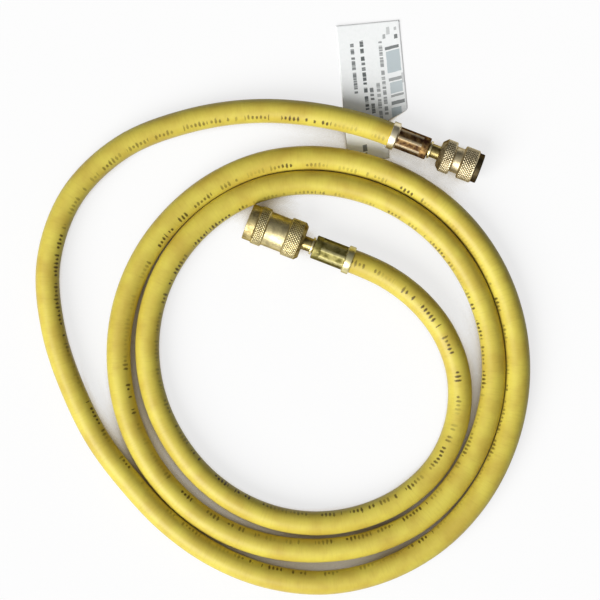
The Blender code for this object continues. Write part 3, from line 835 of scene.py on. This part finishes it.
# The outer nut's lip is painted dark: painted shade on a mouth that faces away from the light.
swivel_nut(
    "outer_swivel_nut", "outer_nut", outer_frame, tan_brass, rear_chamfer=1.8 * MM,
    lengths=(7.0 * MM, 4.2 * MM, 7.0 * MM), waist_depth=1.8 * MM, lip_depth=0.9 * MM,
    seat_depth=9.7 * MM, lip_polish_and_painted_shade=-0.85)
inner_knurled = swivel_nut(
    "inner_swivel_nut", "inner_nut", inner_frame, bright_brass, rear_chamfer=1.2 * MM,
    lengths=(8.4 * MM, 10.3 * MM, 5.0 * MM), waist_depth=1.0 * MM, lip_depth=0.6 * MM,
    seat_depth=12.2 * MM, lip_polish_and_painted_shade=0.1)


# The label is a doubled slip of coated paper, die-cut and printed with plain bars and blocks. Its narrow
# tail goes under the hose beside the outer ferrule, and the rest lies on the floor with a slight curl.
LABEL_WIDTH = 30.5 * MM
LABEL_TAIL_WIDTH = 19.5 * MM
LABEL_LENGTH = 65.0 * MM
LABEL_TAIL_LENGTH = 16.5 * MM
LABEL_SHOULDER = 6.5 * MM
LABEL_THICKNESS = 0.3 * MM
LABEL_CROSSING = 13.5 * MM
LABEL_RISE = 12.0 * MM
LABEL_OFFSET = 6.2 * MM
LABEL_BEARING = math.radians(116.6)
LABEL_CURL = 0.9 * MM
LABEL_CURL_FROM = 35 * MM
LABEL_COLUMNS = 40
LABEL_ROWS = 90

label_place = Vector((outer_frame.translation.x - LABEL_OFFSET, outer_frame.translation.y, 0.0))
label_frame = Matrix.Translation(label_place) @ Matrix.Rotation(LABEL_BEARING, 4, "Z")


def label_spot(across, along):
    """A point of the label's middle sheet, across from 0 to 1 and along in metres from the tail's end."""
    widened = eased((along - LABEL_TAIL_LENGTH) / LABEL_SHOULDER)
    edge = (LABEL_WIDTH - LABEL_TAIL_WIDTH) * (1.0 - widened) - LABEL_WIDTH / 2
    under_hose = outer_frame.translation.z - HOSE_RADIUS - GAP - LABEL_THICKNESS
    hump = under_hose * (1.0 - eased(abs(along - LABEL_CROSSING) / LABEL_RISE))
    past = max(0.0, (along - LABEL_CURL_FROM) / (LABEL_LENGTH - LABEL_CURL_FROM))
    curl = LABEL_CURL * past ** 2 * (0.35 + 0.65 * across ** 2)
    return Vector((
        along - LABEL_CROSSING,
        edge + (LABEL_WIDTH / 2 - edge) * across,
        hump + curl + LABEL_THICKNESS / 2,
    ))


mesh = bmesh.new()
bmesh.ops.create_grid(mesh, x_segments=LABEL_ROWS, y_segments=LABEL_COLUMNS, size=0.5, calc_uvs=True)
flat = mesh.loops.layers.uv.active or mesh.loops.layers.uv.new("UVMap")
sheet_spots = {vertex: (vertex.co.y + 0.5, (vertex.co.x + 0.5) * LABEL_LENGTH) for vertex in mesh.verts}
for face in mesh.faces:
    for loop in face.loops:
        across, along = sheet_spots[loop.vert]
        loop[flat].uv = (label_spot(across, along).y, along)
for vertex, (across, along) in sheet_spots.items():
    vertex.co = label_spot(across, along)
bmesh.ops.transform(mesh, matrix=label_frame, verts=mesh.verts)
bmesh.ops.recalc_face_normals(mesh, faces=mesh.faces)
label_mesh = bpy.data.meshes.new("paper_label")
mesh.to_mesh(label_mesh)
mesh.free()
label_mesh.shade_smooth()
paper_label = bpy.data.objects.new("paper_label", label_mesh)
bpy.context.collection.objects.link(paper_label)
doubled = paper_label.modifiers.new("doubled", "SOLIDIFY")
doubled.thickness = LABEL_THICKNESS
doubled.offset = 0.0

# Columns of bars along the label: how far across in mm, from and to along it, and how dark
BAR_COLUMNS = [
    (8.6, 31, 56, 0.80), (4.0, 24, 57, 0.90), (1.2, 22, 35, 0.80), (-2.1, 19, 37, 0.60),
    (-4.9, 20, 56, 0.65),
]
BAR_LENGTH = 1.9 * MM
BAR_HALF_WIDTH = 0.85
PRINT_RAGGED = 3.0 * MM
PRINT_FUZZ = 0.4 * MM
PAPER_FLECK = 1.4 * MM
BAR_LEAN = 0.15
# Single marks: middle across and along in mm, half of each size, and how dark. All are print except the one
# at
# 7.8 across and 21.6 along, which is a painted shadow where the hose's edge lies over the label.
PRINT_AND_SHADOW_MARKS = [
    (-10.2, 52.6, 3.3, 0.75, 0.8), (-10.5, 37.6, 3.1, 0.75, 0.6), (-10.8, 29.8, 3.1, 0.55, 0.6),
    (-10.8, 26.4, 3.2, 0.85, 0.75), (-7.0, 58.0, 0.7, 1.1, 0.55), (-9.1, 60.6, 0.8, 1.8, 0.35),
    (-12.6, 61.4, 0.6, 0.8, 0.4), (-12.6, 57.6, 0.8, 1.0, 0.8), (-14.1, 37.8, 0.5, 2.4, 0.3),
    (7.8, 21.6, 1.2, 0.9, 0.95), (7.0, 6.0, 1.0, 1.6, 0.8), (7.2, 2.9, 1.1, 0.9, 0.95),
]
TINT_BLOCKS = [(-10.5, 46.0, 3.3, 5.2, 0.9), (-10.7, 33.6, 3.0, 2.6, 0.8), (-9.7, 21.4, 2.4, 2.7, 0.9)]

paper, tree, shader = new_material("coated_white_paper")
print_map = add(tree, "ShaderNodeUVMap", uv_map="UVMap")
fuzz = add(tree, "ShaderNodeTexNoise", {
    "Vector": print_map.outputs["UV"], "Scale": 1 / PRINT_RAGGED, "Detail": 2.0})
fuzzed = add(tree, "ShaderNodeVectorMath", {
    0: fuzz.outputs["Color"], 1: (PRINT_FUZZ, PRINT_FUZZ, 0.0), 2: print_map.outputs["UV"],
}, operation="MULTIPLY_ADD")
place = add(tree, "ShaderNodeSeparateXYZ", {"Vector": fuzzed.outputs[0]})
leant = add(tree, "ShaderNodeMath", {
    0: place.outputs["X"], 1: BAR_LEAN, 2: place.outputs["Y"]}, operation="MULTIPLY_ADD")


def print_and_shadow_patch(tree, across, along, half_across, half_along, strength):
    """A leaning patch of ink, tint or painted shadow on the label, as its share of the colour there."""
    in_across = add(tree, "ShaderNodeMath", {
        0: place.outputs["X"], 1: across * MM, 2: half_across * MM}, operation="COMPARE")
    in_along = add(tree, "ShaderNodeMath", {
        0: leant.outputs[0], 1: (along + BAR_LEAN * across) * MM, 2: half_along * MM}, operation="COMPARE")
    inside = add(tree, "ShaderNodeMath", {
        0: in_across.outputs[0], 1: in_along.outputs[0]}, operation="MULTIPLY")
    return add(tree, "ShaderNodeMath", {0: inside.outputs[0], 1: strength}, operation="MULTIPLY")


bars = add(tree, "ShaderNodeMath", {0: place.outputs["Y"], 1: 1 / BAR_LENGTH}, operation="MULTIPLY")
ink_and_shadow_patches = [print_and_shadow_patch(tree, *mark) for mark in PRINT_AND_SHADOW_MARKS]
for number, (across, start, end, dark) in enumerate(BAR_COLUMNS):
    seed = add(tree, "ShaderNodeMath", {0: bars.outputs[0], 1: 17.0 * number}, operation="ADD")
    chance = add(tree, "ShaderNodeTexNoise", {
        "W": seed.outputs[0], "Scale": 1.0}, noise_dimensions="1D")
    strength = add(tree, "ShaderNodeMapRange", {
        "Value": chance.outputs["Fac"], "From Min": 0.40, "From Max": 0.52, "To Max": dark})
    ink_and_shadow_patches.append(print_and_shadow_patch(
        tree, across, (start + end) / 2, BAR_HALF_WIDTH, (end - start) / 2, strength.outputs[0]))
tint_patches = [print_and_shadow_patch(tree, *block) for block in TINT_BLOCKS]
ink, tint = ink_and_shadow_patches[0], tint_patches[0]
for patch in ink_and_shadow_patches[1:]:
    ink = add(tree, "ShaderNodeMath", {0: ink.outputs[0], 1: patch.outputs[0]}, operation="MAXIMUM")
for patch in tint_patches[1:]:
    tint = add(tree, "ShaderNodeMath", {0: tint.outputs[0], 1: patch.outputs[0]}, operation="MAXIMUM")
fibres = add(tree, "ShaderNodeTexNoise", {"Scale": 1 / PAPER_FLECK, "Detail": 4.0})
tree.links.new(add(tree, "ShaderNodeTexCoord").outputs["Object"], fibres.inputs["Vector"])
sheet_white = add(tree, "ShaderNodeValToRGB", {"Fac": fibres.outputs["Fac"]})
sheet_white.color_ramp.elements[0].color = linear("#F0F3F2")
sheet_white.color_ramp.elements[1].color = linear("#FCFDFD")
tinted = add(tree, "ShaderNodeMix", data_type="RGBA", sockets={
    "Factor": tint.outputs[0], "A": sheet_white.outputs[0], "B": linear("#B8C4C8")})
# The ink share also holds one painted shadow mark from the hose.
inked = add(tree, "ShaderNodeMix", data_type="RGBA", sockets={
    "Factor": ink.outputs[0], "A": tinted.outputs["Result"], "B": linear("#2E3A39")})
crinkle = add(tree, "ShaderNodeBump", {
    "Height": fibres.outputs["Fac"], "Strength": 0.15, "Distance": 0.1 * MM})
tree.links.new(inked.outputs["Result"], shader.inputs["Base Color"])
tree.links.new(crinkle.outputs[0], shader.inputs["Normal"])
shader.inputs["Roughness"].default_value = 0.42
label_mesh.materials.append(paper)
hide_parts("label")
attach(paper_label, "hose")


# The floor is a plain pale sheet. It keeps the object's shadow, and to the camera and in the brass it is
# nearly white, with painted brown shade only in the creases where two turns of the hose almost meet over
# it.
FLOOR_REACH = 3.0
CREASE_SHADE_REACH = 14 * MM

floor_mesh = bmesh.new()
bmesh.ops.create_grid(floor_mesh, x_segments=1, y_segments=1, size=FLOOR_REACH)
floor_data = bpy.data.meshes.new("floor")
floor_mesh.to_mesh(floor_data)
floor_mesh.free()
floor = bpy.data.objects.new("floor", floor_data)
bpy.context.collection.objects.link(floor)
pale, tree, shader = new_material("pale_floor")
rays = add(tree, "ShaderNodeLightPath")
seen = rays.outputs["Is Camera Ray"]
for ray in ("Is Glossy Ray", "Is Transmission Ray"):
    seen = add(tree, "ShaderNodeMath", {0: seen, 1: rays.outputs[ray]}, operation="MAXIMUM").outputs[0]
nearness = add(tree, "ShaderNodeAmbientOcclusion", {"Distance": CREASE_SHADE_REACH}, samples=8)
# Painted shade: the glow's colour goes from white to brown where the hose's turns close over the floor.
painted_crease_shade = add(tree, "ShaderNodeValToRGB", {"Fac": nearness.outputs["AO"]})
painted_crease_shade.color_ramp.elements[0].position = 0.20
painted_crease_shade.color_ramp.elements[0].color = linear("#33260F")
painted_crease_shade.color_ramp.elements[1].position = 0.46
painted_crease_shade.color_ramp.elements[1].color = linear("#E1E1E1")
painted_crease_shade.color_ramp.elements.new(0.34).color = linear("#9C8A60")
glow = add(tree, "ShaderNodeEmission", {"Color": painted_crease_shade.outputs["Color"], "Strength": seen})
total = add(tree, "ShaderNodeAddShader", {0: shader.outputs[0], 1: glow.outputs[0]})
tree.links.new(total.outputs[0], tree.nodes["Material Output"].inputs["Surface"])
shader.inputs["Base Color"].default_value = linear("#808080")
shader.inputs["Roughness"].default_value = 0.9
floor_data.materials.append(pale)


# The light is one soft lamp from the photograph's lower left and a plain surround, which is brightest
# overhead and darker away from the lamp, so that the brass has something to mirror.
KEY_BEARING = math.radians(246)
KEY_HEIGHT = math.radians(38)
KEY_STRENGTH = 3.5
KEY_SPREAD = math.radians(46)
# How bright the surround is level with the floor and overhead, and its share of that away from the lamp
# and towards it
LEVEL_LOW = 0.08
LEVEL_OVERHEAD = 0.42
SHARE_AWAY = 0.12
SHARE_TOWARDS = 1.88

lamp_data = bpy.data.lights.new("window", "SUN")
lamp_data.energy = KEY_STRENGTH
lamp_data.angle = KEY_SPREAD
lamp = bpy.data.objects.new("window", lamp_data)
lamp.rotation_euler = (math.pi / 2 - KEY_HEIGHT, 0.0, KEY_BEARING + math.pi / 2)
bpy.context.collection.objects.link(lamp)

room = bpy.data.worlds.new("room")
bpy.context.scene.world = room
room.use_nodes = True
tree = room.node_tree
sky = add(tree, "ShaderNodeTexCoord").outputs["Generated"]
direction = add(tree, "ShaderNodeSeparateXYZ", {"Vector": sky})
by_height = add(tree, "ShaderNodeMapRange", {
    "Value": direction.outputs["Z"], "To Min": LEVEL_LOW, "To Max": LEVEL_OVERHEAD})
towards_x = add(tree, "ShaderNodeMath", {
    0: direction.outputs["X"], 1: math.cos(KEY_BEARING)}, operation="MULTIPLY")
towards_key = add(tree, "ShaderNodeMath", {
    0: direction.outputs["Y"], 1: math.sin(KEY_BEARING), 2: towards_x.outputs[0]}, operation="MULTIPLY_ADD")
by_key = add(tree, "ShaderNodeMapRange", {
    "Value": towards_key.outputs[0], "From Min": -1.0, "From Max": 1.0,
    "To Min": SHARE_AWAY, "To Max": SHARE_TOWARDS})
level = add(tree, "ShaderNodeMath", {
    0: by_height.outputs[0], 1: by_key.outputs[0]}, operation="MULTIPLY")
surround = tree.nodes["Background"]
surround.inputs["Color"].default_value = (1.0, 1.0, 1.0, 1.0)
tree.links.new(level.outputs[0], surround.inputs["Strength"])
